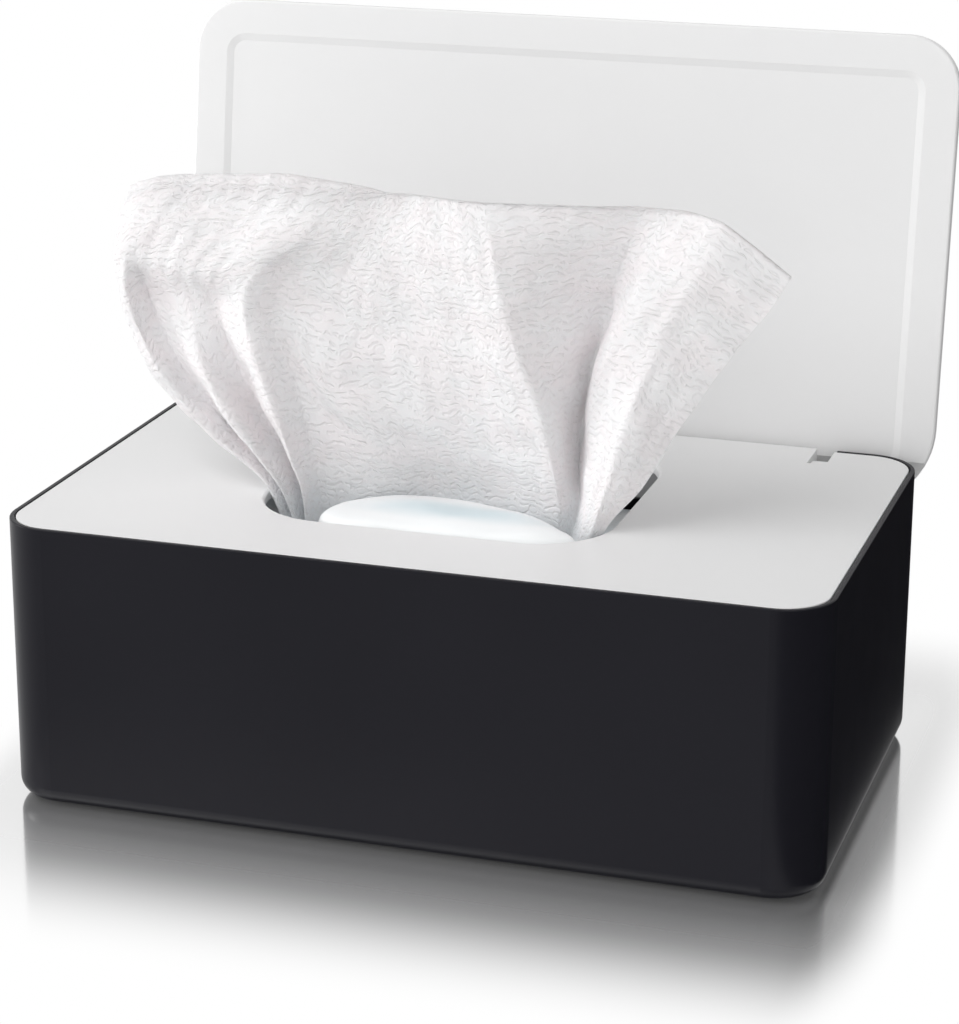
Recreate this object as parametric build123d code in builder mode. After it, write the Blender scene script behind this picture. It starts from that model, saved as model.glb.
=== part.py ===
from build123d import *
import os
from math import cos, radians, sin, sqrt

# Wipe dispenser, shown open with one wipe pulled. Millimetres, +Z up, +Y to the back.
# The origin is the centre of the box's underside.

# Box
base_width = 190.0
base_depth = 116.0
base_height = 67.0
corner_radius = 12.0
lower_edge_radius = 4.0
wall = 2.4
floor_thickness = 2.4
floor_fillet = 2.0
rim_width = 1.2
rim_round = 0.3

# Anti-slip pads under the box
pad_radius = 7.0
pad_thickness = 1.2
pad_seat_depth = 0.6
pad_clearance = 0.1
pad_inset = 20.0
pad_round = 0.2

# Plate that drops inside the rim
plate_thickness = 2.2
plate_clearance = 0.25
plate_round = 0.25
rib_thickness = 1.5
rib_height = 5.0
rib_clearance = 0.4
opening_width = 83.0
opening_depth = 73.0
opening_radius = 18.0
opening_shift_x = -3.5
opening_shift_y = 4.0
opening_round = 0.8

# Hinge: two knuckles on the lid turn on pins in the plate's cheeks
hinge_inset = 8.0
hinge_drop = 8.6
open_lean = 8.0
lid_clearance = 0.3
knuckle_radius = 7.6
knuckle_width = 4.2
knuckle_inset = 23.5
knuckle_side_gap = 0.2
web_half = 2.6
pin_radius = 1.5
pin_clearance = 0.05
pin_seat = 0.02
cheek_thickness = 2.6
cheek_margin = 4.0
cheek_depth = 5.6
skirt_thickness = 2.1
swing_clearance = 0.3
notch_clearance = 0.5
stop_gap = 0.2

# Lid
lid_overhang = 2.0
lid_thickness = 4.4
lid_tail = 4.0
lid_front_radius = 13.0
lid_back_radius = 20.0
lid_outer_round = 1.5
lid_inner_round = 0.5
border_side = 8.0
border_front = 8.4
recess_depth = 0.45
recess_radius = 5.0
recess_slope = 76.0
recess_tail = 6.0

# Wipes
stack_end_gap = 3.6
stack_side_gap = 4.6
stack_headroom = 17.6
stack_radius = 6.0
stack_round = 1.5
bulge_width = 64.0
bulge_depth = 27.0
bulge_shift_x = 0.0
bulge_shift_y = -21.5
bulge_rise = 15.5
bulge_radius = 12.0
wipe_thickness = 1.2
wipe_dip = 6.0
wipe_middle = 40.0
wipe_reach = 79.0
wipe_root = 42.0
wipe_spread = 94.0
wipe_sway = 25.0

# Next wipe's cross-sections: share of the rise, of the width and of the depth
bulge_rings = ((0.0, 1.0, 1.0), (0.55, 0.97, 0.92), (0.85, 0.8, 0.7), (1.0, 0.5, 0.36))

# Folds of the pulled wipe seen from above, left to right, at three heights over the plate:
# the height, half the width there, and each fold's share of that width and of the sway
wipe_folds = (
    (-wipe_dip, wipe_root, ((-1, -0.56), (-0.83, -0.8), (-0.76, -0.76), (-0.62, -0.36), (-0.14, -0.2),
                            (0.33, -0.24), (0.69, -0.48), (0.76, -0.92), (0.86, -0.76))),
    (wipe_middle, wipe_spread, ((-0.98, -0.4), (-0.79, -1), (-0.62, -0.64), (-0.4, -0.84), (-0.11, -0.72),
                                (0.15, -0.88), (0.33, -0.36), (0.4, -0.72), (0.74, -0.16))),
    (wipe_reach, wipe_spread, ((-1, -0.16), (-0.81, -0.8), (-0.64, -0.48), (-0.4, -0.8), (-0.09, -0.8),
                               (0.07, -0.96), (0.38, -0.28), (0.64, -0.76), (0.98, -0.08))),
)
# Outline of the pulled wipe seen from the front: shares of the spread and of the reach over the plate
wipe_outline = (
    (-0.46, -0.08), (-0.46, 0.01), (-0.54, 0.08), (-0.7, 0.23), (-0.83, 0.43), (-0.87, 0.58), (-0.85, 0.76),
    (-0.8, 0.86), (-0.68, 0.92), (-0.43, 0.97), (-0.19, 0.94), (0.07, 0.92), (0.36, 0.94), (0.63, 0.92),
    (0.82, 0.8), (0.62, 0.42), (0.51, 0.23), (0.39, 0.01), (0.39, -0.08),
)

# Places that follow from the sizes
half_width = base_width / 2
half_depth = base_depth / 2
stack_width = base_width - 2 * (wall + stack_end_gap)
stack_depth = base_depth - 2 * (wall + stack_side_gap)
stack_height = base_height - floor_thickness - stack_headroom
knuckle_x = half_width - knuckle_inset
ledge_z = base_height - plate_thickness
plate_inset = rim_width + plate_clearance
hinge_y = half_depth - hinge_inset
hinge_z = base_height - hinge_drop
inner_face = hinge_drop + lid_clearance
lid_reach = hinge_y + half_depth + lid_overhang
lid_width = base_width + 2 * lid_overhang
relief_radius = sqrt(hinge_inset ** 2 + hinge_drop ** 2) + swing_clearance
rib_inset = wall + rib_clearance
rib_inner = rib_inset + rib_thickness
slot_inner = knuckle_x - knuckle_width / 2 - knuckle_side_gap
slot_outer = knuckle_x + knuckle_width / 2 + knuckle_side_gap
slot_front = hinge_y - sqrt(knuckle_radius ** 2 - (hinge_drop - plate_thickness) ** 2) - swing_clearance
notch_half = slot_outer + notch_clearance
notch_z = hinge_z - knuckle_radius - swing_clearance
cheek_front = hinge_y - cheek_depth
outer_cheek_back = half_depth - rib_inset
cheek_z = hinge_z - pin_radius - cheek_margin
stack_top = floor_thickness + stack_height
pin_length = knuckle_width + 2 * knuckle_side_gap + 2 * cheek_thickness

# The lid's own plane: its origin on the hinge axis, +Y up along the lid, +Z out of its inner face
lid_plane = Plane(
    origin=(0, hinge_y, hinge_z),
    x_dir=(1, 0, 0),
    z_dir=(0, -cos(radians(open_lean)), sin(radians(open_lean))),
)
along_x = (0, 90, 0)

os.makedirs("parts", exist_ok=True)

# Box, open at the top
with BuildPart() as base_shell:
    with BuildSketch():
        RectangleRounded(base_width, base_depth, corner_radius)
    extrude(amount=base_height)
    fillet(base_shell.faces().sort_by(Axis.Z)[0].edges(), lower_edge_radius)
    with BuildSketch(Plane.XY.offset(floor_thickness)):
        RectangleRounded(base_width - 2 * wall, base_depth - 2 * wall, corner_radius - wall)
    extrude(amount=base_height, mode=Mode.SUBTRACT)
    cavity_floor = base_shell.faces().filter_by(Axis.Z).filter_by(lambda f: f.normal_at().Z > 0).sort_by(Axis.Z)[0]
    fillet(cavity_floor.edges(), floor_fillet)
    # ledge that carries the plate
    with BuildSketch(Plane.XY.offset(ledge_z)):
        RectangleRounded(base_width - 2 * rim_width, base_depth - 2 * rim_width, corner_radius - rim_width)
    extrude(amount=base_height, mode=Mode.SUBTRACT)
    fillet(base_shell.faces().sort_by(Axis.Z)[-1].edges(), rim_round)
    # notch in the back wall for the hinge strip
    with BuildSketch(Plane.XY.offset(notch_z)):
        with Locations((0, half_depth)):
            Rectangle(2 * notch_half, 2 * wall + 2 * swing_clearance)
    extrude(amount=base_height, mode=Mode.SUBTRACT)
    # seats for the anti-slip pads
    with BuildSketch():
        with GridLocations(base_width - 2 * pad_inset, base_depth - 2 * pad_inset, 2, 2):
            Circle(pad_radius + pad_clearance)
    extrude(amount=pad_seat_depth, mode=Mode.SUBTRACT)
base_shell.part.label = "base_shell"
export_step(base_shell.part, "parts/base_shell.step")

# Anti-slip pads
for side, name_x in ((-1, "left"), (1, "right")):
    for end, name_y in ((-1, "front"), (1, "back")):
        pad_plane = Plane.XY.offset(pad_seat_depth - pad_thickness)
        with BuildPart() as foot_pad:
            with BuildSketch(pad_plane):
                with Locations((side * (half_width - pad_inset), end * (half_depth - pad_inset))):
                    Circle(pad_radius)
            extrude(amount=pad_thickness)
            fillet(foot_pad.faces().sort_by(Axis.Z)[0].edges(), pad_round)
        foot_pad.part.label = f"foot_pad_{name_y}_{name_x}"
        export_step(foot_pad.part, f"parts/foot_pad_{name_y}_{name_x}.step")

# Plate with the opening, the hinge strip and the cheeks for the pins
with BuildPart() as top_plate:
    with BuildSketch(Plane.XY.offset(ledge_z)):
        RectangleRounded(
            base_width - 2 * plate_inset, base_depth - 2 * plate_inset, corner_radius - plate_inset
        )
    extrude(amount=plate_thickness)
    fillet(top_plate.faces().sort_by(Axis.Z)[-1].edges(), plate_round)
    # strip over the notched back wall
    with BuildSketch(Plane.XY.offset(ledge_z)):
        with Locations((0, hinge_y)):
            Rectangle(2 * slot_outer, 2 * hinge_inset)
    extrude(amount=plate_thickness)
    # rib that centres the plate in the box
    with BuildSketch(Plane.XY.offset(ledge_z)):
        RectangleRounded(base_width - 2 * rib_inset, base_depth - 2 * rib_inset, corner_radius - rib_inset)
        RectangleRounded(
            base_width - 2 * rib_inner, base_depth - 2 * rib_inner, corner_radius - rib_inner,
            mode=Mode.SUBTRACT,
        )
        with Locations((0, half_depth)):
            Rectangle(2 * (slot_outer + cheek_thickness), 2 * hinge_inset, mode=Mode.SUBTRACT)
    extrude(amount=-rib_height)
    # skirt that closes the notch
    with BuildSketch(Plane.XY.offset(ledge_z)):
        with Locations((0, half_depth - skirt_thickness / 2)):
            Rectangle(2 * slot_inner, skirt_thickness)
    extrude(amount=notch_z + swing_clearance - ledge_z)
    # cheeks on both sides of each knuckle
    with BuildSketch(Plane.XY.offset(ledge_z)):
        for side in (-1, 1):
            with Locations((side * (slot_inner - cheek_thickness / 2), (cheek_front + half_depth) / 2)):
                Rectangle(cheek_thickness, half_depth - cheek_front)
            with Locations((side * (slot_outer + cheek_thickness / 2), (cheek_front + outer_cheek_back) / 2)):
                Rectangle(cheek_thickness, outer_cheek_back - cheek_front)
    extrude(amount=cheek_z - ledge_z)
    # opening for the wipes
    with BuildSketch(Plane.XY.offset(ledge_z)):
        with Locations((opening_shift_x, opening_shift_y)):
            RectangleRounded(opening_width, opening_depth, opening_radius)
    extrude(amount=plate_thickness, mode=Mode.SUBTRACT)
    opening_lip = (
        top_plate.faces().filter_by(Axis.Z).sort_by(Axis.Z)[-1].inner_wires()[0].edges()
    )
    fillet(opening_lip, opening_round)
    # slots that the knuckles turn in
    with BuildSketch(Plane.XY.offset(ledge_z)):
        with Locations(
            (-knuckle_x, slot_front + hinge_inset), (knuckle_x, slot_front + hinge_inset)
        ):
            Rectangle(slot_outer - slot_inner, 2 * hinge_inset)
    extrude(amount=plate_thickness, mode=Mode.SUBTRACT)
    # holes for the pins
    with Locations((0, hinge_y, hinge_z)):
        Cylinder(pin_radius + pin_seat, base_width, rotation=along_x, mode=Mode.SUBTRACT)
top_plate.part.label = "top_plate"
export_step(top_plate.part, "parts/top_plate.step")

# Pins
for side, name_x in ((-1, "left"), (1, "right")):
    with BuildPart() as hinge_pin:
        with Locations((side * knuckle_x, hinge_y, hinge_z)):
            Cylinder(pin_radius, pin_length, rotation=along_x)
    hinge_pin.part.label = f"hinge_pin_{name_x}"
    export_step(hinge_pin.part, f"parts/hinge_pin_{name_x}.step")

# Lid, standing open
with BuildPart() as lid_panel:
    with BuildSketch(lid_plane.offset(-inner_face - lid_thickness)) as lid_outline:
        with Locations((0, (lid_reach - lid_tail) / 2)):
            Rectangle(lid_width, lid_reach + lid_tail)
        fillet(lid_outline.vertices().group_by(Axis.Y)[-1], lid_front_radius)
        fillet(lid_outline.vertices().group_by(Axis.Y)[0], lid_back_radius)
    extrude(amount=lid_thickness)
    lid_faces = lid_panel.faces().filter_by(lid_plane).sort_by(Axis.Y)
    fillet(lid_faces[-1].edges(), lid_outer_round)
    fillet(lid_faces[0].edges(), lid_inner_round)
    # recessed field with sloping sides
    with BuildSketch(lid_plane.offset(-inner_face)):
        with Locations((0, (lid_reach - border_front + recess_tail) / 2)):
            RectangleRounded(
                lid_width - 2 * border_side, lid_reach - border_front - recess_tail, recess_radius
            )
    extrude(amount=-recess_depth, taper=recess_slope, mode=Mode.SUBTRACT)
    # relief that lets the rim's back corner pass as the lid swings
    with Locations((0, hinge_y, hinge_z)):
        Cylinder(relief_radius, 2 * lid_width, rotation=along_x, mode=Mode.SUBTRACT)
    # knuckles and the webs that carry them
    with Locations((-knuckle_x, hinge_y, hinge_z), (knuckle_x, hinge_y, hinge_z)):
        Cylinder(knuckle_radius, knuckle_width, rotation=along_x)
    with BuildSketch(lid_plane):
        with Locations((-knuckle_x, 0), (knuckle_x, 0)):
            Rectangle(knuckle_width, 2 * web_half)
    extrude(amount=-relief_radius - swing_clearance)
    # squared quarter of each knuckle that stops under the plate when the lid is open
    with BuildSketch(Plane.XY.offset(hinge_z)):
        with Locations(
            (-knuckle_x, hinge_y - knuckle_radius / 2), (knuckle_x, hinge_y - knuckle_radius / 2)
        ):
            Rectangle(knuckle_width, knuckle_radius)
    extrude(amount=ledge_z - stop_gap - hinge_z)
    with Locations((0, hinge_y, hinge_z)):
        Cylinder(pin_radius + pin_clearance, lid_width, rotation=along_x, mode=Mode.SUBTRACT)
lid_panel.part.label = "lid_panel"
export_step(lid_panel.part, "parts/lid_panel.step")

# Folded wipes in the box
with BuildPart() as wipe_stack:
    with BuildSketch(Plane.XY.offset(floor_thickness)):
        RectangleRounded(stack_width, stack_depth, stack_radius)
    extrude(amount=stack_height)
    fillet(wipe_stack.edges().group_by(Axis.Z)[-1], stack_round)
wipe_stack.part.label = "wipe_stack"
export_step(wipe_stack.part, "parts/wipe_stack.step")

# Next wipe, a soft fold that swells up into the front half of the opening
with BuildPart() as next_wipe:
    for rise, width, depth in bulge_rings:
        with BuildSketch(Plane.XY.offset(stack_top + rise * bulge_rise)):
            with Locations((bulge_shift_x, bulge_shift_y)):
                RectangleRounded(width * bulge_width, depth * bulge_depth, depth * bulge_radius)
    loft()
next_wipe.part.label = "next_wipe"
export_step(next_wipe.part, "parts/next_wipe.step")

# Pulled wipe: folds that fan out from the opening, trimmed to the outline of the hanging cloth
with BuildPart() as pulled_wipe:
    for height, half_spread, folds in wipe_folds:
        with BuildSketch(Plane.XY.offset(base_height + height)):
            with BuildLine():
                crests = [(x * half_spread, y * wipe_sway) for x, y in folds]
                front = [(x, y - wipe_thickness / 2) for x, y in crests]
                back = [(x, y + wipe_thickness / 2) for x, y in reversed(crests)]
                Polyline(*front, *back, close=True)
            make_face()
    loft(ruled=True)
    with BuildSketch(Plane.XZ.offset(-half_depth)):
        with BuildLine():
            outline = [(x * wipe_spread, base_height + z * wipe_reach) for x, z in wipe_outline]
            Polyline(*outline, close=True)
        make_face()
    extrude(amount=base_depth, mode=Mode.INTERSECT)
pulled_wipe.part.label = "pulled_wipe"
export_step(pulled_wipe.part, "parts/pulled_wipe.step")
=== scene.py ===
import math

import bpy
import numpy as np
from mathutils import Matrix, Vector


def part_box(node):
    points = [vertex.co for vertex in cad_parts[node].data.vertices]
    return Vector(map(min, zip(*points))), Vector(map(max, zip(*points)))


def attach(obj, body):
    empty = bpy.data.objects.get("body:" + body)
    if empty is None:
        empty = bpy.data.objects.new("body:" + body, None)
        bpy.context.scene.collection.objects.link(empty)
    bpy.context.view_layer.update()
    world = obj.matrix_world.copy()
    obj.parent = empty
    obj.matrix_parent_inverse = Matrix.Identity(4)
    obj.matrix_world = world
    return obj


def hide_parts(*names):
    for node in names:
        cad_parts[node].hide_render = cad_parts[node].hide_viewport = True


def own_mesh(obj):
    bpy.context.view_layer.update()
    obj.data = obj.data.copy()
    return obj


print("scene: loading the frame")
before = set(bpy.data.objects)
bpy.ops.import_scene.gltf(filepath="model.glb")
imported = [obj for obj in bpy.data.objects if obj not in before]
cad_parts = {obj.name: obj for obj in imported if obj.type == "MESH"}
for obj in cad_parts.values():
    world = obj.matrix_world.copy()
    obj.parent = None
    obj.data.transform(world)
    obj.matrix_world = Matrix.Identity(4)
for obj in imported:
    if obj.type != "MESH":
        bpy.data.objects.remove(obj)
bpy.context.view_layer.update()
scene = bpy.context.scene
mm = 0.001
uvSpan = 100  # millimetres of flat cloth in one unit of its UV map
tiny = 1e-9  # keeps a division off zero
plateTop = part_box("top_plate")[1].z / mm  # this and the next two lines in millimetres
stackLow, stackHigh = (np.array(c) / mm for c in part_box("wipe_stack"))
shellHigh = np.array(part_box("base_shell")[1]) / mm


knotPower = 0.75  # 1 spaces a line's knots as its points are, 0 evenly


def knotsThrough(p):  # places of the points along a line through them
    step = np.maximum(np.linalg.norm(np.diff(p, axis=0), axis=1), tiny) ** knotPower
    return np.concatenate([[0], np.cumsum(step)])


def smoothAlong(p, knots, samples, first=0, spare=1):  # cubic pieces whose slopes come from the neighbours
    places = knots[first] + np.asarray(samples) * (knots[len(knots) - spare] - knots[first])
    slopes = np.gradient(p, knots, axis=0)
    i = np.clip(np.searchsorted(knots, places, side="right") - 1, 0, len(knots) - 2)
    shape = (-1,) + (1,) * (p.ndim - 1)
    width = (knots[i + 1] - knots[i]).reshape(shape)
    t = (places - knots[i]).reshape(shape) / width
    ends = (2 * t**3 - 3 * t**2 + 1) * p[i] + (3 * t**2 - 2 * t**3) * p[i + 1]
    return ends + width * ((t**3 - 2 * t**2 + t) * slopes[i] + (t**3 - t**2) * slopes[i + 1])


def straightAlong(p, knots, samples):  # straight pieces between the knots
    places = np.asarray(samples) * knots[-1]
    i = np.clip(np.searchsorted(knots, places, side="right") - 1, 0, len(knots) - 2)
    t = ((places - knots[i]) / (knots[i + 1] - knots[i])).reshape((-1,) + (1,) * (p.ndim - 1))
    return p[i] * (1 - t) + p[i + 1] * t


def smoothLine(points, samples):
    p = np.asarray(points, float)
    return smoothAlong(p, knotsThrough(p), samples)


def smoothRing(points, count):  # closed, so its first and last points repeat at the other end
    p = np.asarray(points, float)
    p = np.concatenate([p[-2:], p, p[:3]])
    return smoothAlong(p, knotsThrough(p), np.arange(count) / count, 2, 3)


def ripples(u, v, seed, waves, shortest, longest):  # soft seeded unevenness from about -1 to 1
    chance = np.random.RandomState(seed)
    total = np.zeros(np.broadcast(u, v).shape)
    for _ in range(waves):
        angle, phase = chance.uniform(0, 2 * math.pi, 2)
        length = chance.uniform(shortest, longest)
        total += np.sin(2 * math.pi * (u * math.cos(angle) + v * math.sin(angle)) / length + phase)
    return total / math.sqrt(waves)


def gridNormals(p):
    normal = np.cross(np.gradient(p, axis=1), np.gradient(p, axis=0))
    return normal / np.maximum(np.linalg.norm(normal, axis=2, keepdims=True), tiny)


def gridMesh(name, p, uv=None, loop=False, caps=False):  # p holds rows of points in millimetres
    rows, cols = p.shape[:2]
    across = cols if loop else cols - 1
    faces = [(r * cols + c, r * cols + (c + 1) % cols, (r + 1) * cols + (c + 1) % cols, (r + 1) * cols + c)
             for r in range(rows - 1) for c in range(across)]
    if caps:
        faces += [tuple(reversed(range(cols))), tuple((rows - 1) * cols + c for c in range(cols))]
    mesh = bpy.data.meshes.new(name)
    mesh.from_pydata([tuple(q) for q in p.reshape(-1, 3) * mm], [], faces)
    if uv is not None:
        layer = mesh.uv_layers.new(name="flat")
        flat = uv.reshape(-1, 2)
        for corner in mesh.loops:
            layer.data[corner.index].uv = flat[corner.vertex_index]
    mesh.shade_smooth()
    obj = bpy.data.objects.new(name, mesh)
    scene.collection.objects.link(obj)
    return obj


def applyModifiers(obj):  # leaves the shape that the modifiers make as the object's own mesh
    bpy.context.view_layer.update()
    mesh = bpy.data.meshes.new_from_object(obj.evaluated_get(bpy.context.evaluated_depsgraph_get()))
    obj.modifiers.clear()
    obj.data = mesh


class Shader:  # a material whose nodes are added one call at a time

    def __init__(self, name, colour, roughness, **sockets):
        self.material = bpy.data.materials.new(name)
        self.material.use_nodes = True
        self.tree = self.material.node_tree
        self.surface = self.tree.nodes["Principled BSDF"]
        self.output = self.tree.nodes["Material Output"]
        self.set("Base Color", (*colour, 1))
        self.set("Roughness", roughness)
        for socket, value in sockets.items():
            self.set(socket.replace("_", " "), value)

    def set(self, socket, value):
        self.put(self.surface.inputs[socket], value)

    def put(self, socket, value):  # a number, or another node's output
        if isinstance(value, bpy.types.NodeSocket):
            self.tree.links.new(value, socket)
        else:
            socket.default_value = value

    def math(self, operation, *values):
        made = self.tree.nodes.new("ShaderNodeMath")
        made.operation = operation
        for i, value in enumerate(values):
            self.put(made.inputs[i], value)
        return made.outputs[0]

    def spread(self, value, fromLow, fromHigh, toLow=0.0, toHigh=1.0, smooth=True):
        made = self.tree.nodes.new("ShaderNodeMapRange")
        made.interpolation_type = "SMOOTHSTEP" if smooth else "LINEAR"
        for i, v in enumerate((value, fromLow, fromHigh, toLow, toHigh)):
            self.put(made.inputs[i], v)
        return made.outputs[0]

    def blend(self, share, first, second):  # colours, or outputs that carry one
        made = self.tree.nodes.new("ShaderNodeMix")
        made.data_type = "RGBA"
        self.put(made.inputs["Factor"], share)
        for place, value in ((6, first), (7, second)):  # the node's inputs for colours
            self.put(made.inputs[place], value if isinstance(value, bpy.types.NodeSocket) else (*value, 1))
        return made.outputs[2]  # its output for colours

    def place(self, scale=(1, 1, 1), kind="Object"):
        source = self.tree.nodes.new("ShaderNodeTexCoord")
        mapping = self.tree.nodes.new("ShaderNodeMapping")
        self.tree.links.new(source.outputs[kind], mapping.inputs["Vector"])
        mapping.inputs["Scale"].default_value = scale
        return mapping.outputs[0]

    def split(self, where):
        made = self.tree.nodes.new("ShaderNodeSeparateXYZ")
        self.tree.links.new(where, made.inputs[0])
        return made.outputs

    def noise(self, where, scale, detail=3.0, roughness=0.55):
        made = self.tree.nodes.new("ShaderNodeTexNoise")
        self.tree.links.new(where, made.inputs["Vector"])
        made.inputs["Scale"].default_value = scale
        made.inputs["Detail"].default_value = detail
        made.inputs["Roughness"].default_value = roughness
        return made.outputs["Fac"]

    def bump(self, height, distance, strength=1.0, under=None):
        made = self.tree.nodes.new("ShaderNodeBump")
        made.inputs["Strength"].default_value = strength
        made.inputs["Distance"].default_value = distance
        self.tree.links.new(height, made.inputs["Height"])
        if under is not None:
            self.tree.links.new(under, made.inputs["Normal"])
        return made.outputs["Normal"]


noiseRange = (0.3, 0.7)  # where most of a noise's values lie
noiseMiddle = (0.35, 0.65)  # a narrower part of it, for clearer patches

darkLook = {  # in these looks scales are per metre, and lengths are in metres
    "colour": (0.0085, 0.0083, 0.0118), "other": (0.0098, 0.0096, 0.0134), "roughness": 0.33,
    "specular": 0.12, "depth": 0.0, "wear": 0.1, "wornColour": (0.03, 0.03, 0.033), "waviness": 0.00002,
    "grain": 0.00002, "grainScale": 2600,
}
plateLook = {
    "colour": (0.78, 0.78, 0.78), "other": (0.765, 0.766, 0.767), "roughness": 0.4,
    "specular": 0.35, "depth": 0.08, "wear": 0.5, "wornColour": (0.84, 0.84, 0.84), "waviness": 0.00002,
    "grain": 0.000012, "grainScale": 2200,
}
lidLook = {
    "colour": (0.79, 0.79, 0.79), "other": (0.778, 0.779, 0.78), "roughness": 0.38,
    "specular": 0.35, "depth": 0.08, "wear": 0.6, "wornColour": (0.84, 0.84, 0.84), "waviness": 0.00003,
    "grain": 0.000012, "grainScale": 2200,
}
mouldedDetail = {  # what the three moulded pieces share
    "depthScale": 0.004, "mottleScale": 14, "wornEdge": (0.52, 0.62), "shineScale": 60, "shineChange": 0.012,
    "waveScale": 22, "grainStrength": 0.6,
}


def mouldedPlastic(name, look):  # fine grain, a slow change of colour and shine, and worn edges
    look = dict(mouldedDetail, **look)
    s = Shader(name, look["colour"], look["roughness"], Specular_IOR_Level=look["specular"],
               Subsurface_Weight=look["depth"], Subsurface_Scale=look["depthScale"],
               Subsurface_Radius=(1, 1, 1))
    where = s.place()
    mottle = s.spread(s.noise(where, look["mottleScale"], 2), *noiseRange)
    shade = s.blend(mottle, look["colour"], look["other"])
    edge = s.tree.nodes.new("ShaderNodeNewGeometry").outputs["Pointiness"]
    worn = s.math("MULTIPLY", s.spread(edge, *look["wornEdge"]), look["wear"])
    s.set("Base Color", s.blend(worn, shade, look["wornColour"]))
    low, high = look["roughness"] - look["shineChange"], look["roughness"] + look["shineChange"]
    s.set("Roughness", s.spread(s.noise(where, look["shineScale"], 4), *noiseRange, low, high))
    waves = s.bump(s.noise(where, look["waveScale"], 1), look["waviness"], 1)
    grain = s.noise(where, look["grainScale"], 5)
    s.set("Normal", s.bump(grain, look["grain"], look["grainStrength"], waves))
    return s.material


pinLook = {
    "colour": (0.6, 0.6, 0.62), "roughness": 0.28, "shinier": 0.08, "duller": 0.1,
    "lines": (60, 2600, 2600), "drawn": 0.00002, "drawnStrength": 0.5,
}


def drawnSteel(look):  # wire with fine lines drawn along it
    s = Shader("drawnSteel", look["colour"], look["roughness"], Metallic=1.0)
    lines = s.noise(s.place(look["lines"]), 1, 3)
    low, high = look["roughness"] - look["shinier"], look["roughness"] + look["duller"]
    s.set("Roughness", s.spread(lines, *noiseRange, low, high))
    s.set("Normal", s.bump(lines, look["drawn"], look["drawnStrength"]))
    return s.material


padLook = {
    "colour": (0.06, 0.06, 0.065), "other": (0.045, 0.045, 0.05), "roughness": 0.82, "specular": 0.3,
    "mottleScale": 300, "grain": 0.00005, "grainScale": 2400, "grainStrength": 0.7,
}


def padRubber(look):  # matte silicone with a fine grain
    s = Shader("padRubber", look["colour"], look["roughness"], Specular_IOR_Level=look["specular"])
    where = s.place()
    mottle = s.spread(s.noise(where, look["mottleScale"], 2), *noiseMiddle)
    s.set("Base Color", s.blend(mottle, look["colour"], look["other"]))
    s.set("Normal", s.bump(s.noise(where, look["grainScale"], 4), look["grain"], look["grainStrength"]))
    return s.material


print("scene: materials of the moulded pieces")
finishes = {
    "base_shell": mouldedPlastic("darkPlastic", darkLook),
    "top_plate": mouldedPlastic("platePlastic", plateLook),
    "lid_panel": mouldedPlastic("lidPlastic", lidLook),
    "hinge_pin": drawnSteel(pinLook),
    "foot_pad": padRubber(padLook),
}
for name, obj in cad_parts.items():
    for start, material in finishes.items():
        if name.startswith(start):
            obj.data.materials.clear()
            obj.data.materials.append(material)


clothLook = {  # the pattern's lengths in millimetres and its scales per millimetre of flat cloth
    "colour": (0.955, 0.915, 0.928), "warm": (0.96, 0.905, 0.92), "cool": (0.93, 0.922, 0.936),
    "roughness": 0.75, "specular": 0.2, "sheen": 0.06, "depth": 0.5, "depthScale": 0.002,
    "rowGap": 1.8, "dash": 2.5, "dashWidth": (0.05, 0.3), "dashEnds": (0.22, 0.4), "rowShift": 0.43,
    "sway": 0.34, "swayLength": 4.9, "drift": 6, "driftScale": 0.16,
    "ringGap": 6.0, "ringScatter": 0.6, "ringRadius": 0.16, "ringLine": (0.01, 0.07), "ringPress": 0.6,
    "ringClear": (0.02, 0.09), "emboss": 0.00018, "pressedShade": 0.24, "pressedShadeColour": 0.9,
    "fibre": 0.00034, "fibreScale": 1.3, "fibreRange": (0.35, 0.7), "fibreShade": 0.35, "fibreStrength": 0.7,
    "tintScale": 0.12, "dampShadeColour": (0.79, 0.835, 0.865), "dampShade": (9, 19), "dampShadeShare": 0.75,
    "dampShadeUneven": 8, "dampShadeScale": 0.11,
}
dampLook = dict(clothLook, colour=(0.84, 0.87, 0.885), warm=(0.85, 0.87, 0.88), cool=(0.81, 0.86, 0.885),
                roughness=0.5, emboss=0.00006, fibre=0.00007, dampShadeShare=0.0)


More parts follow.
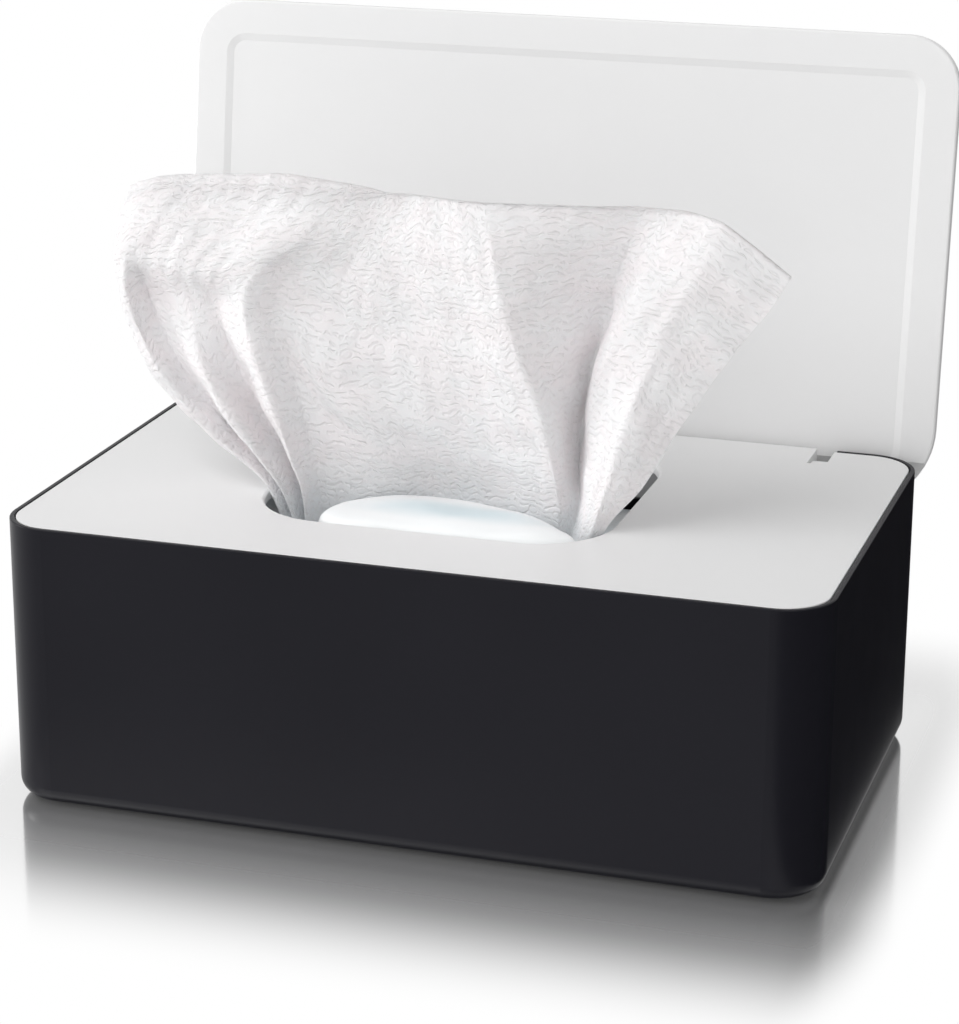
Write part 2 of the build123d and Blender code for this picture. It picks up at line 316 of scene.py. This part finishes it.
def embossedCloth(name, look):  # nonwoven, pressed with wavy rows of short dashes and small rings; painted shade darkens the pressed places and the sheet's bottom by the opening
    s = Shader(name, look["colour"], look["roughness"], Subsurface_Weight=look["depth"],
               Subsurface_Scale=look["depthScale"], Subsurface_Radius=(1, 1, 1),
               Specular_IOR_Level=look["specular"], Sheen_Weight=look["sheen"])
    flat = s.place((uvSpan, uvSpan, 1), "UV")  # the flat sheet's own coordinates, in millimetres
    u, v, _ = s.split(flat)
    uneven = s.math("MULTIPLY", s.noise(flat, look["driftScale"], 3), look["drift"])
    wave = s.math("SINE", s.math("MULTIPLY", u, 2 * math.pi / look["swayLength"]))
    sway = s.math("MULTIPLY", wave, look["sway"])
    row = s.math("DIVIDE", s.math("ADD", s.math("ADD", v, sway), uneven), look["rowGap"])
    inRow = s.math("ABSOLUTE", s.math("SUBTRACT", s.math("FRACT", row), 0.5))
    shift = s.math("ADD", s.math("MULTIPLY", s.math("FLOOR", row), look["rowShift"]), uneven)
    along = s.math("FRACT", s.math("ADD", s.math("DIVIDE", u, look["dash"]), shift))
    inDash = s.math("ABSOLUTE", s.math("SUBTRACT", along, 0.5))
    acrossDash = s.spread(inRow, *look["dashWidth"], 1, 0)
    dashes = s.math("MULTIPLY", acrossDash, s.spread(inDash, *look["dashEnds"], 1, 0))
    cells = s.tree.nodes.new("ShaderNodeTexVoronoi")
    cells.voronoi_dimensions = "2D"
    s.tree.links.new(flat, cells.inputs["Vector"])
    cells.inputs["Scale"].default_value = 1 / look["ringGap"]
    cells.inputs["Randomness"].default_value = look["ringScatter"]
    reach = cells.outputs["Distance"]  # from a ring's centre, in ring gaps
    ringLine = s.math("ABSOLUTE", s.math("SUBTRACT", reach, look["ringRadius"]))
    rings = s.spread(ringLine, *look["ringLine"], look["ringPress"], 0)
    outside = s.spread(reach, *(look["ringRadius"] + clear for clear in look["ringClear"]))
    pressed = s.math("MAXIMUM", s.math("MULTIPLY", dashes, outside), rings)
    fibres = s.noise(flat, look["fibreScale"], 6, 0.8)
    tint = s.blend(s.spread(s.noise(flat, look["tintScale"], 3), *noiseMiddle), look["warm"], look["cool"])
    pale = s.math("MULTIPLY", s.spread(fibres, *look["fibreRange"]), look["fibreShade"])
    tint = s.blend(pale, tint, look["colour"])
    # the sheet's bottom by the opening is painted bluish and darker: painted shade, partly the damp cloth's
    # own tone
    dampShadeReach = s.math("ADD", v, s.math("MULTIPLY", s.noise(flat, look["dampShadeScale"], 2), look["dampShadeUneven"]))
    dampShade = s.spread(dampShadeReach, *reversed(look["dampShade"]))
    tint = s.blend(s.math("MULTIPLY", dampShade, look["dampShadeShare"]), tint, look["dampShadeColour"])  # painted shade by the opening, bluish and darker, partly the damp cloth's own tone
    # the pressed places are painted darker: partly the pressed fibre's own denser tone, partly painted shade
    # in the embossed grooves
    pressedShadeTone = tuple(look["pressedShadeColour"] * c for c in look["colour"])
    s.set("Base Color", s.blend(s.math("MULTIPLY", pressed, look["pressedShade"]), tint, pressedShadeTone))
    fine = s.bump(fibres, look["fibre"], look["fibreStrength"])
    s.set("Normal", s.bump(s.math("SUBTRACT", 1.0, pressed), look["emboss"], 1.0, fine))
    return s.material


pulledWipe = {  # lengths in millimetres, but flat in metres
    "heights": (-8, 2, 12, 28, 45, 53, 61),  # above the plate, for all places of a fold but its top
    "folds": [  # from left to right: places (x, y) at those heights, then the top (x, y, height)
        ((-36, -9), (-38, -8), (-44, -4), (-58, 1), (-68, 3), (-69, 2), (-68, 0), (-66, -3, 62)),
        ((-41, -15), (-46, -14), (-62, -12), (-79, -9), (-84, -8), (-85, -8), (-84, -8), (-81, -8, 66)),
        ((-39, -19), (-44, -18), (-56, -18), (-71, -18), (-80, -15), (-81, -14), (-80, -14), (-76, -11, 68)),
        ((-37, -14), (-42, -13), (-54, -12), (-68, -12), (-77, -10), (-76, -15), (-74, -17), (-68, -12, 70)),
        ((-36, -20), (-40, -20), (-47, -21), (-58, -20), (-66, -14), (-66, -19), (-62, -18), (-56, -13, 71)),
        ((-35, -14), (-38, -12), (-44, -11), (-53, -12), (-58, -14), (-56, -21), (-50, -19), (-43, -14, 72)),
        ((-34, -20), (-35, -20), (-38, -21), (-44, -21), (-48, -21), (-45, -22), (-36, -20), (-28, -15, 72)),
        ((-33, -12), (-34, -12), (-36, -12), (-39, -14), (-42, -17), (-38, -18), (-30, -18), (-22, -15, 72)),
        ((-24, -8), (-21, -9), (-22, -13), (-31, -15), (-27, -16), (-26, -16), (-22, -16), (-16, -15, 72)),
        ((-10, -3), (-10, -3), (-12, -9), (-14, -14), (-15, -16), (-15, -17), (-14, -17), (-9, -15, 72)),
        ((6, -4), (7, -5), (7, -10), (6, -16), (2, -19), (1, -20), (0, -20), (-1, -17, 72)),
        ((22, -9), (24, -12), (24, -17), (22, -22), (16, -24), (14, -24), (12, -23), (8, -18, 72)),
        ((26, -9), (28, -9), (27, -5), (28, -3), (32, -3), (34, -4), (37, -7), (41, -12, 72)),
        ((29, -18), (32, -19), (32, -17), (33, -17), (38, -19), (42, -18), (46, -16), (52, -12, 72)),
        ((32, -20), (35, -22), (38, -23), (43, -24), (49, -22), (53, -21), (57, -19), (61, -16, 71)),
        ((33, -19), (38, -20), (46, -20), (55, -19), (66, -17), (72, -16), (75, -15), (76, -15, 60)),
    ],
    # each fold's sharpness, from 0 for round to 1 for creased
    "sharpness": (0.1, 0, 0.3, 0.5, 0.4, 0.5, 0.9, 0.4, 0.3, 0.3, 0.2, 0.9, 0.6, 0.5, 0.8, 0.2),
    "topGap": 4,  # a place less than this below a fold's top is left out
    "rows": 130, "columns": 330, "fibreThickness": 0.28, "edgeAngle": 1.1, "flat": (0.18, 0.09), "height": 84,
    "creaseRounding": 3, "held": 8, "free": 20,  # held at the opening up to 8, and free 20 further up
    "soft": 0.4, "softWaves": (3, 9, 9, 26),  # seed, number of waves, shortest and longest
    "crease": 0.13, "creaseWaves": (5, 14, 3.5, 9), "creaseStretch": (1.6, 0.6), "creaseHeld": 0.4,
    "calmest": 0.2, "calming": 1.5,
    "lip": 1.5, "lipHeight": 5.5, "lipPower": 2, "rollRadius": 2.4, "rollStart": 0.25, "rollRows": 10,
    "rollDepth": 5.0, "dropRows": 6, "dropStart": 0.2, "dropLean": 0.3, "hemRow": 0.9,
    "rolled": ((0, 0.7), (0.3, 1), (0.4, 0.5), (0.46, 0.1), (1, 0.1)),  # share of the width, and of the roll
}


def foldedSheet(spec):  # a grid of points whose top edge rolls over to the back at the left
    folds = []
    for *places, top in spec["folds"]:
        highest = top[2] - spec["topGap"]
        line = [(x, y, h) for (x, y), h in zip(places, spec["heights"]) if h < highest] + [top]
        folds.append(smoothLine(line, np.linspace(0, 1, spec["rows"])))
    folds = np.array(folds)
    knots = np.concatenate([[0], np.cumsum(np.linalg.norm(np.diff(folds, axis=0), axis=2).mean(axis=1))])
    share = np.linspace(0, 1, spec["columns"])
    sharp = np.interp(share * knots[-1], knots, spec["sharpness"])[:, None, None]
    p = smoothAlong(folds, knots, share) * (1 - sharp) + straightAlong(folds, knots, share) * sharp
    for _ in range(spec["creaseRounding"]):  # rounds each crease over about a millimetre
        p[1:-1] = (p[:-2] + 2 * p[1:-1] + p[2:]) / 4
    p = p.transpose(1, 0, 2)
    u = share[None, :] * knots[-1]
    v = np.linspace(0, 1, spec["rows"])[:, None] * spec["height"]
    free = np.clip((v - spec["held"]) / spec["free"], 0, 1)
    wide = ripples(u, v, *spec["softWaves"]) * spec["soft"] * free
    closer, taller = spec["creaseStretch"]
    held = spec["creaseHeld"]
    fine = ripples(u * closer, v * taller, *spec["creaseWaves"]) * spec["crease"] * (held + (1 - held) * free)
    gap = np.linalg.norm(np.gradient(p, axis=1), axis=2)
    loose = np.clip(gap / gap.mean(), spec["calmest"], 1) ** spec["calming"]  # calmer in close folds
    p = p + gridNormals(p) * ((wide + fine) * loose)[..., None]
    rolled = np.interp(share, *zip(*spec["rolled"]))
    nearTop = np.clip(1 - (spec["height"] - v) / spec["lipHeight"], 0, 1)
    p[..., 1] -= spec["lip"] * rolled * nearTop ** spec["lipPower"]
    angles = np.linspace(spec["rollStart"], math.pi, spec["rollRows"])
    drops = np.linspace(spec["dropStart"], 1, spec["dropRows"])
    turns = [(math.sin(a), 1 - math.cos(a), 0) for a in angles]
    turns += [(0, 2 - spec["dropLean"] * drop, drop) for drop in drops]
    hem = []
    for up, back, drop in turns:
        row = p[-1].copy()
        row[:, 1] += back * spec["rollRadius"] * rolled
        row[:, 2] += (up * spec["rollRadius"] - drop * spec["rollDepth"]) * rolled
        hem.append(row)
    p = np.concatenate([p, np.array(hem)])
    p[..., 2] += plateTop
    vAll = np.concatenate([v[:, 0], spec["height"] + np.arange(1, len(hem) + 1) * spec["hemRow"]])
    return p, np.stack(np.broadcast_arrays(u, vAll[:, None]), axis=2) / uvSpan


def makePulledWipe(spec):
    p, uv = foldedSheet(spec)
    wipe = gridMesh("pulled_wipe_cloth", p, uv)
    thick = wipe.modifiers.new("thick", "SOLIDIFY")
    thick.thickness = spec["fibreThickness"] * mm
    thick.offset = 0
    applyModifiers(wipe)
    wipe.data.set_sharp_from_angle(angle=spec["edgeAngle"])  # the thin edge then doesn't shade the sheet
    wipe.data.materials.append(embossedCloth("wipeCloth", clothLook))
    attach(wipe, "plate")
    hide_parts("pulled_wipe")
    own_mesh(wipe)


print("scene: pulled wipe")
makePulledWipe(pulledWipe)


swellLook = {  # lengths in metres
    "colour": (0.875, 0.895, 0.9), "middle": (0.65, 0.745, 0.775), "roughness": 0.42, "specular": 0.35,
    "depth": 0.5, "depthScale": 0.003, "centre": (0.002, -0.02), "reach": (0.029, 0.0085),
    "fade": (0.35, 1.15), "uneven": 0.3, "unevenScale": 90,
    "fibre": 0.00004, "fibreScale": 900, "fibreStrength": 0.6,
}


def dampSwell(look):  # smooth damp cloth, paler at its rim than in the middle
    s = Shader("dampSwell", look["colour"], look["roughness"], Subsurface_Weight=look["depth"],
               Subsurface_Scale=look["depthScale"], Subsurface_Radius=(1, 1, 1),
               Specular_IOR_Level=look["specular"])
    where = s.place()
    squares = []
    for value, middle, reach in zip(s.split(where), look["centre"], look["reach"]):
        share = s.math("DIVIDE", s.math("SUBTRACT", value, middle), reach)
        squares.append(s.math("POWER", s.math("ABSOLUTE", share), 2.0))
    away = s.math("SQRT", s.math("ADD", *squares))
    away = s.math("ADD", away, s.math("MULTIPLY", s.noise(where, look["unevenScale"], 3), look["uneven"]))
    s.set("Base Color", s.blend(s.spread(away, *look["fade"]), look["middle"], look["colour"]))
    fibres = s.noise(where, look["fibreScale"], 5, 0.7)
    s.set("Normal", s.bump(fibres, look["fibre"], look["fibreStrength"]))
    return s.material


nextWipe = {
    "crown": [  # outline (x, y) where the wipe swells into the opening, at the plate's level
        (-29, -26), (-28, -18), (-22, -11.5), (-11, -6.5), (5, -8), (16, -11.5), (24, -16.5), (29, -21.5),
        (32.5, -25.5), (29, -29.5), (12, -31.6), (-8, -31.6), (-24, -31.2),
    ],
    "centre": (0, -21),
    "levels": [  # share of the crown outline, height above the stack
        (1.3, 0.3), (1.24, 2.5), (1.14, 6), (1.05, 10), (1.0, 13.2), (0.99, 15.4), (0.965, 16.8),
        (0.91, 17.7), (0.8, 18.3), (0.62, 18.7), (0.42, 18.9), (0.22, 19.0), (0.02, 19.0),
    ],
    "around": 220, "up": 60, "soft": 0.3, "softWaves": (11, 8, 12, 40), "softRise": 4,
    "pleats": (5, 7, 11, 16, 23), "pleatDepth": 0.055, "pleatInset": 0.5, "skirt": 0.2,
}


def makeNextWipe(spec):
    ring = smoothRing(spec["crown"], spec["around"])
    profile = smoothLine(spec["levels"], np.linspace(0, 1, spec["up"]))
    centre = np.array(spec["centre"])
    turn = np.arange(spec["around"]) / spec["around"] * 2 * math.pi
    waves = sum(np.sin(count * turn + count * count) for count in spec["pleats"])
    pleats = waves / len(spec["pleats"]) - spec["pleatInset"]
    skirt = np.clip((profile[:, 0] - 1) / spec["skirt"], 0, 1)  # the pleats open out below the plate
    reach = profile[:, 0, None] * (1 + spec["pleatDepth"] * skirt[:, None] * pleats[None])
    p = np.empty((spec["up"], spec["around"], 3))
    p[..., :2] = centre + (ring - centre)[None] * reach[..., None]
    p[..., 2] = stackHigh[2] + profile[:, 1, None]
    inside = np.clip((1 - profile[:, 0]) * spec["softRise"], 0, 1)[:, None]
    p[..., 2] += ripples(p[..., 0], p[..., 1], *spec["softWaves"]) * spec["soft"] * inside
    bulge = gridMesh("next_wipe_cloth", p, p[..., :2] / uvSpan, loop=True, caps=True)
    bulge.data.materials.append(dampSwell(swellLook))
    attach(bulge, "box")
    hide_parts("next_wipe")
    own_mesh(bulge)


wipeStack = {
    "layers": 22, "ringsPerLayer": 5, "radius": 7, "perCorner": 8, "perSide": 40, "edge": 0.8, "clear": 0.15,
    "slip": 0.35, "slipSeed": 21, "sway": 0.12, "swaySeed": 40, "swayWaves": (4, 25, 70),
    "top": (0.985, 0.96, 0.9, 0.8, 0.65, 0.45, 0.25, 0.05),  # shares of the outline, for its closing rings
    "topDrop": 0.5, "topHighest": 0.4, "waviness": 0.3, "topWaves": (9, 6, 30, 90),
    "uvLean": 0.3, "uvStart": 1,
}


def roundedOutline(half, radius, perCorner, perSide):  # a rectangle with rounded corners, in order round it
    points = []
    for quarter, (sx, sy) in enumerate(((1, 1), (-1, 1), (-1, -1), (1, -1))):
        for a in (quarter + np.linspace(0, 1, perCorner)) * math.pi / 2:
            x = (half[0] - radius) * sx + radius * math.cos(a)
            y = (half[1] - radius) * sy + radius * math.sin(a)
            points.append((x, y))
    dense = []
    for a, b in zip(points, points[1:] + points[:1]):
        steps = perSide if math.dist(a, b) > radius else 1  # the straight sides alone are divided
        dense += [np.array(a) + (np.array(b) - a) * t for t in np.arange(steps) / steps]
    return np.array(dense)


def makeStack(spec):  # folded wipes on one another, each with its own rounded edge
    half, middle = (stackHigh - stackLow)[:2] / 2, (stackHigh + stackLow)[:2] / 2
    outline = roundedOutline(half, spec["radius"], spec["perCorner"], spec["perSide"])
    outward = outline / np.linalg.norm(outline, axis=1, keepdims=True)
    chance = np.random.RandomState(spec["slipSeed"])
    thickness = (stackHigh[2] - stackLow[2]) / spec["layers"]
    rings = []
    for layer in range(spec["layers"]):
        slip = chance.uniform(-spec["slip"], spec["slip"], 2)
        sway = ripples(*outline.T, spec["swaySeed"] + layer, *spec["swayWaves"]) * spec["sway"]
        sway = sway * math.sin(math.pi * layer / spec["layers"])
        for k in range(spec["ringsPerLayer"]):
            t = (k + 0.5) / spec["ringsPerLayer"] * 2 - 1  # from the layer's bottom at -1 to its top at 1
            inset = spec["edge"] * (1 - math.sqrt(1 - t * t)) + spec["slip"] + spec["clear"]
            z = stackLow[2] + (layer + (t + 1) / 2) * thickness + sway
            rings.append(np.column_stack([outline + slip - outward * inset + middle, z]))
    last = rings[-1]
    for share in spec["top"]:
        ring = last.copy()
        ring[:, :2] = middle + (last[:, :2] - middle) * share
        dip = ripples(*ring[:, :2].T, *spec["topWaves"]) * spec["waviness"]
        ring[:, 2] = stackHigh[2] - spec["topDrop"] + np.minimum(dip, spec["topHighest"])
        rings.append(ring)
    p = np.array(rings)
    u, v = p[..., 0] + p[..., 2] * spec["uvLean"], p[..., 1] + p[..., 2]
    uv = np.stack([u, v], axis=2) / uvSpan + spec["uvStart"]
    stack = gridMesh("wipe_stack_cloth", p, uv, loop=True, caps=True)
    stack.data.materials.append(embossedCloth("dampCloth", dampLook))
    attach(stack, "box")
    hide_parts("wipe_stack")


print("scene: next wipe and stack")
makeNextWipe(nextWipe)
makeStack(wipeStack)


studio = {  # lengths in millimetres, but the lamps' in metres
    "floorHeight": -0.6, "floorSize": 6000, "floorColour": (0.8, 0.8, 0.8), "floorRoughness": 0.6,
    "floorLift": 0.3, "mirror": 0.88, "mirrorReach": 76, "mirrorRoughness": 0.1, "mirrorPower": 1.3,
    "sideways": 3.2, "fadeStart": 20, "fadeEnd": 68, "world": 0.51, "lampsAim": (0, 0, 0.06),
    "key": {"place": (-0.8, -0.95, 1.2), "size": 1.3, "power": 15},
    "fill": {"place": (0.6, -1.3, 0.6), "size": 1.0, "power": 3},
    "side": {"place": (-1.5, -0.3, 0.12), "size": 0.6, "power": 12},
    "card": {
        "left": 97, "right": 900, "front": -500, "back": 900, "height": -0.3, "top": 150,
        "colour": (0.01, 0.01, 0.01), "roughness": 0.9,
    },
}


def makeFloor(spec):  # white, with a fading reflection next to the box, and it keeps the box's shadow
    half = spec["floorSize"] / 2
    grid = np.array([[(x, y, spec["floorHeight"]) for x in (-half, half)] for y in (-half, half)])
    floor = gridMesh("studio_floor", grid)
    s = Shader("floorPaint", spec["floorColour"], spec["floorRoughness"], Specular_IOR_Level=0.0)
    spot = s.split(s.tree.nodes.new("ShaderNodeNewGeometry").outputs["Position"])
    beyond = []
    for axis, haste in enumerate((spec["sideways"], 1.0)):  # the reflection ends sooner at the two sides
        past = s.math("SUBTRACT", s.math("ABSOLUTE", spot[axis]), float(shellHigh[axis]) * mm)
        beyond.append(s.math("POWER", s.math("MULTIPLY", s.math("MAXIMUM", past, 0.0), haste), 2.0))
    away = s.math("SQRT", s.math("ADD", *beyond))
    mirror = s.tree.nodes.new("ShaderNodeBsdfGlossy")
    mirror.inputs["Roughness"].default_value = spec["mirrorRoughness"]
    path = s.tree.nodes.new("ShaderNodeLightPath")
    seen = s.math("MAXIMUM", path.outputs["Is Camera Ray"], path.outputs["Is Glossy Ray"])
    seen = s.math("MAXIMUM", seen, path.outputs["Is Transmission Ray"])
    lift = s.tree.nodes.new("ShaderNodeEmission")
    s.put(lift.inputs["Strength"], s.math("MULTIPLY", seen, spec["floorLift"]))
    lit = s.tree.nodes.new("ShaderNodeAddShader")
    s.put(lit.inputs[0], s.surface.outputs[0])
    s.put(lit.inputs[1], lift.outputs[0])
    weaker = s.math("POWER", s.spread(away, 0, spec["mirrorReach"] * mm, smooth=False), spec["mirrorPower"])
    near = s.math("SUBTRACT", 1.0, weaker)
    glassy = s.tree.nodes.new("ShaderNodeMixShader")
    s.put(glassy.inputs[0], s.math("MULTIPLY", near, spec["mirror"]))
    s.put(glassy.inputs[1], lit.outputs[0])
    s.put(glassy.inputs[2], mirror.outputs[0])
    far = s.tree.nodes.new("ShaderNodeMixShader")
    fade = s.spread(away, spec["fadeStart"] * mm, spec["fadeEnd"] * mm)
    s.put(far.inputs[0], s.math("MULTIPLY", fade, seen))
    s.put(far.inputs[1], glassy.outputs[0])
    s.put(far.inputs[2], s.tree.nodes.new("ShaderNodeEmission").outputs[0])
    s.put(s.output.inputs[0], far.outputs[0])
    floor.data.materials.append(s.material)


def makeWorld(strength):  # white where it is seen, and a plain level of light elsewhere
    world = bpy.data.worlds.new("studioWorld")
    scene.world = world
    world.use_nodes = True
    tree = world.node_tree
    back = tree.nodes["Background"]
    back.inputs["Color"].default_value = (1, 1, 1, 1)
    path = tree.nodes.new("ShaderNodeLightPath")
    seen = path.outputs["Is Camera Ray"]
    for other in ("Is Glossy Ray", "Is Transmission Ray"):
        both = tree.nodes.new("ShaderNodeMath")
        both.operation = "MAXIMUM"
        tree.links.new(seen, both.inputs[0])
        tree.links.new(path.outputs[other], both.inputs[1])
        seen = both.outputs[0]
    level = tree.nodes.new("ShaderNodeMapRange")
    tree.links.new(seen, level.inputs[0])
    level.inputs["To Min"].default_value = strength
    tree.links.new(level.outputs[0], back.inputs["Strength"])


def makeLamp(name, spec, aim):
    lamp = bpy.data.lights.new(name, "AREA")
    lamp.energy = spec["power"]
    lamp.size = spec["size"]
    obj = bpy.data.objects.new(name, lamp)
    scene.collection.objects.link(obj)
    obj.location = spec["place"]
    obj.rotation_mode = "QUATERNION"
    obj.rotation_quaternion = (Vector(aim) - obj.location).to_track_quat("-Z", "Y")


def makeCard(spec):  # black, on the floor to the right and up behind, seen only in shiny surfaces
    front, back, height = spec["front"], spec["back"], spec["height"]
    profile = ((front, height), (back, height), (back, spec["top"]))
    grid = np.array([[(x, y, z) for x in (spec["left"], spec["right"])] for y, z in profile])
    card = gridMesh("studio_card", grid)
    s = Shader("cardBlack", spec["colour"], spec["roughness"], Specular_IOR_Level=0.0)
    side = s.tree.nodes.new("ShaderNodeMixShader")  # clear from below, where the floor's reflection looks up
    s.put(side.inputs[0], s.tree.nodes.new("ShaderNodeNewGeometry").outputs["Backfacing"])
    s.put(side.inputs[1], s.surface.outputs[0])
    s.put(side.inputs[2], s.tree.nodes.new("ShaderNodeBsdfTransparent").outputs[0])
    s.put(s.output.inputs[0], side.outputs[0])
    card.data.materials.append(s.material)
    card.visible_camera = False
    card.visible_diffuse = False
    card.visible_shadow = False
    card.visible_transmission = False


cameraSpec = {  # place, sensor and clipStart in millimetres, angles in radians
    "place": (203.9, -641.3, 282.1), "yaw": -0.3058, "pitch": 0.3165, "roll": 0.0042,
    "lens": 106.87, "sensor": 36, "clipStart": 20,
}


def makeCamera(spec):  # its angles turn from straight back, downwards and clockwise
    yaw, pitch, roll = spec["yaw"], spec["pitch"], spec["roll"]
    look = Vector((math.sin(yaw) * math.cos(pitch), math.cos(yaw) * math.cos(pitch), -math.sin(pitch)))
    right = Vector((math.cos(yaw), -math.sin(yaw), 0))
    up = right.cross(look)
    side = right * math.cos(roll) + up * math.sin(roll)
    top = up * math.cos(roll) - right * math.sin(roll)
    data = bpy.data.cameras.new("photoCamera")
    data.lens = spec["lens"]
    data.sensor_width = spec["sensor"]
    data.clip_start = spec["clipStart"] * mm
    camera = bpy.data.objects.new("photoCamera", data)
    scene.collection.objects.link(camera)
    turned = Matrix((side, top, -look)).transposed().to_4x4()
    camera.matrix_world = Matrix.Translation(Vector(spec["place"]) * mm) @ turned
    scene.camera = camera


print("scene: studio and camera")
makeFloor(studio)
makeWorld(studio["world"])
for lampName in ("key", "fill", "side"):
    makeLamp(lampName, studio[lampName], studio["lampsAim"])
makeCard(studio["card"])
makeCamera(cameraSpec)
scene.view_settings.view_transform = "Standard"
